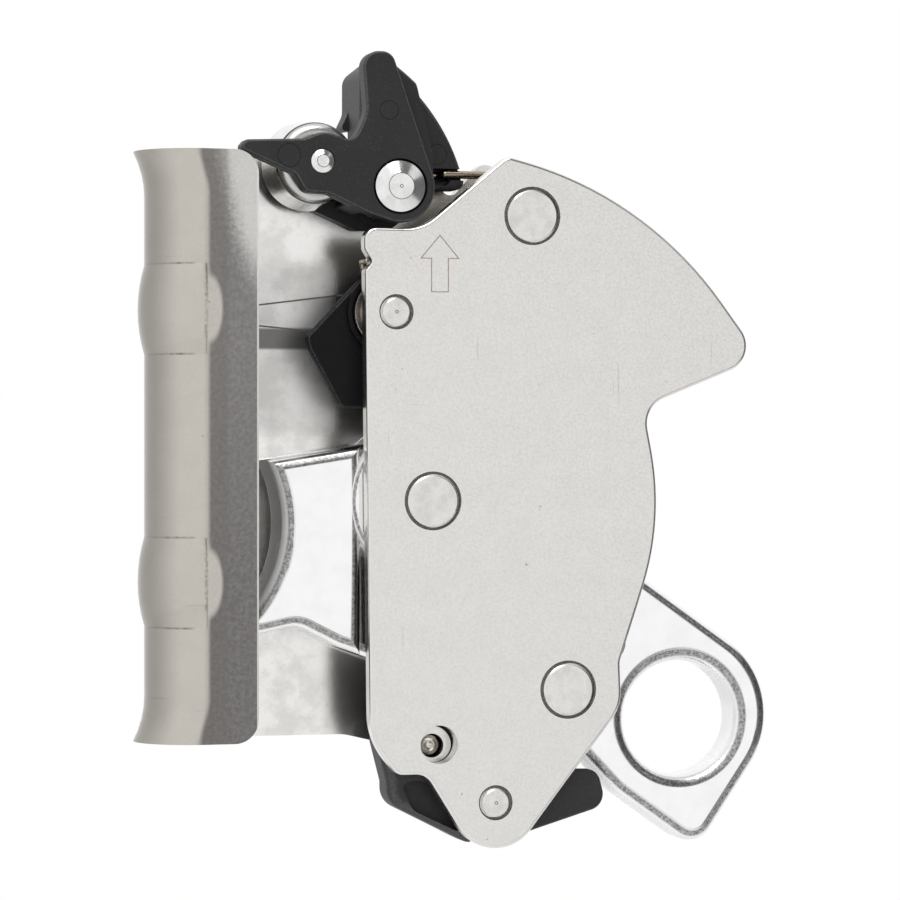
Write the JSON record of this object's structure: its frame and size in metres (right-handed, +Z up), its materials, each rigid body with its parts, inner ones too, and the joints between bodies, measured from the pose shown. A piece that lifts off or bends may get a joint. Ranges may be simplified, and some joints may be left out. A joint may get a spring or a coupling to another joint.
{
  "type": "ascender",
  "caption": "Steel rope grab: C-shaped rope channel, two riveted side plates, a sprung cam lever with a connector eye, a rope gate, a release rocker and an opening roller lever.",
  "frame": {"origin": "on the axis of the rope channel, halfway up the channel", "axes": "+Z up along the rope, +X from the rope towards the connector eye, +Y from the front plate towards the rear plate"},
  "size_m": [0.1063, 0.0206, 0.1289],
  "materials": {
    "plate_steel": "satin stainless sheet, finely brushed, lightly handled",
    "rivet_steel": "turned stainless, machined faces",
    "forged_aluminium": "tumble-polished forging, bright",
    "black_nylon": "fine-grained matt moulded plastic",
    "roller_steel": "polished steel",
    "spring_steel": "straw-toned drawn spring wire",
    "bush_bronze": "plain sintered bronze"
  },
  "bodies": {
    "frame": {"rear_body": "plate_steel", "front_plate": "plate_steel", "plate_spacers": "rivet_steel", "plate_rivets": "rivet_steel", "cam_pivot_rivet": "rivet_steel", "gate_rivet": "rivet_steel", "rocker_rivet": "rivet_steel", "lever_pivot_pin": "rivet_steel", "gate_washer": "rivet_steel", "gate_spring": "spring_steel"},
    "cam": {"cam_lever": "forged_aluminium", "cam_bush": "bush_bronze", "cam_spring": "spring_steel"},
    "roller_arm": {"roller_lever": "black_nylon", "roller_axle": "roller_steel"},
    "roller": {"rope_roller": "roller_steel"},
    "catch": {"safety_catch": "black_nylon", "catch_spring": "spring_steel"},
    "gate": {"rope_gate": "black_nylon"},
    "rocker": {"release_rocker": "black_nylon", "detent_collar": "rivet_steel", "rocker_spring": "spring_steel", "detent_spring": "spring_steel"},
    "plunger": {"detent_plunger": "roller_steel"}
  },
  "joints": [
    {"name": "cam_pivot", "type": "hinge", "parent": "frame", "child": "cam", "pos_m": [0.036, 0, -0.0088], "axis": [0, 1, 0], "range_deg": [0, 15], "stiffness_Nm_per_rad": 0.05, "springref_deg": -5.73},
    {"name": "roller_arm_pivot", "type": "hinge", "parent": "frame", "child": "roller_arm", "pos_m": [0.0306, 0, 0.0418], "axis": [0, 1, 0], "range_deg": [0, 55], "stiffness_Nm_per_rad": 0.02, "springref_deg": -17.19},
    {"name": "roller_spin", "type": "hinge", "parent": "roller_arm", "child": "roller", "pos_m": [0.0178, 0, 0.0456], "axis": [0, 1, 0], "continuous": true},
    {"name": "catch_pivot", "type": "hinge", "parent": "roller_arm", "child": "catch", "pos_m": [0.0306, 0, 0.0418], "axis": [0, 1, 0], "range_deg": [0, 12], "stiffness_Nm_per_rad": 0.02, "springref_deg": -11.46},
    {"name": "gate_pivot", "type": "hinge", "parent": "frame", "child": "gate", "pos_m": [0.0299, 0, 0.0216], "axis": [0, 1, 0], "range_deg": [-18, 18], "stiffness_Nm_per_rad": 0.005},
    {"name": "rocker_pivot", "type": "hinge", "parent": "frame", "child": "rocker", "pos_m": [0.0465, 0, -0.0577], "axis": [0, 1, 0], "range_deg": [-8, 3], "stiffness_Nm_per_rad": 0.01},
    {"name": "detent_slide", "type": "slide", "parent": "rocker", "child": "plunger", "axis": [0, 1, 0], "range_m": [0, 0.0012], "stiffness_N_per_m": 400, "springref_m": -0.001, "deforming": ["detent_spring"]}
  ]
}
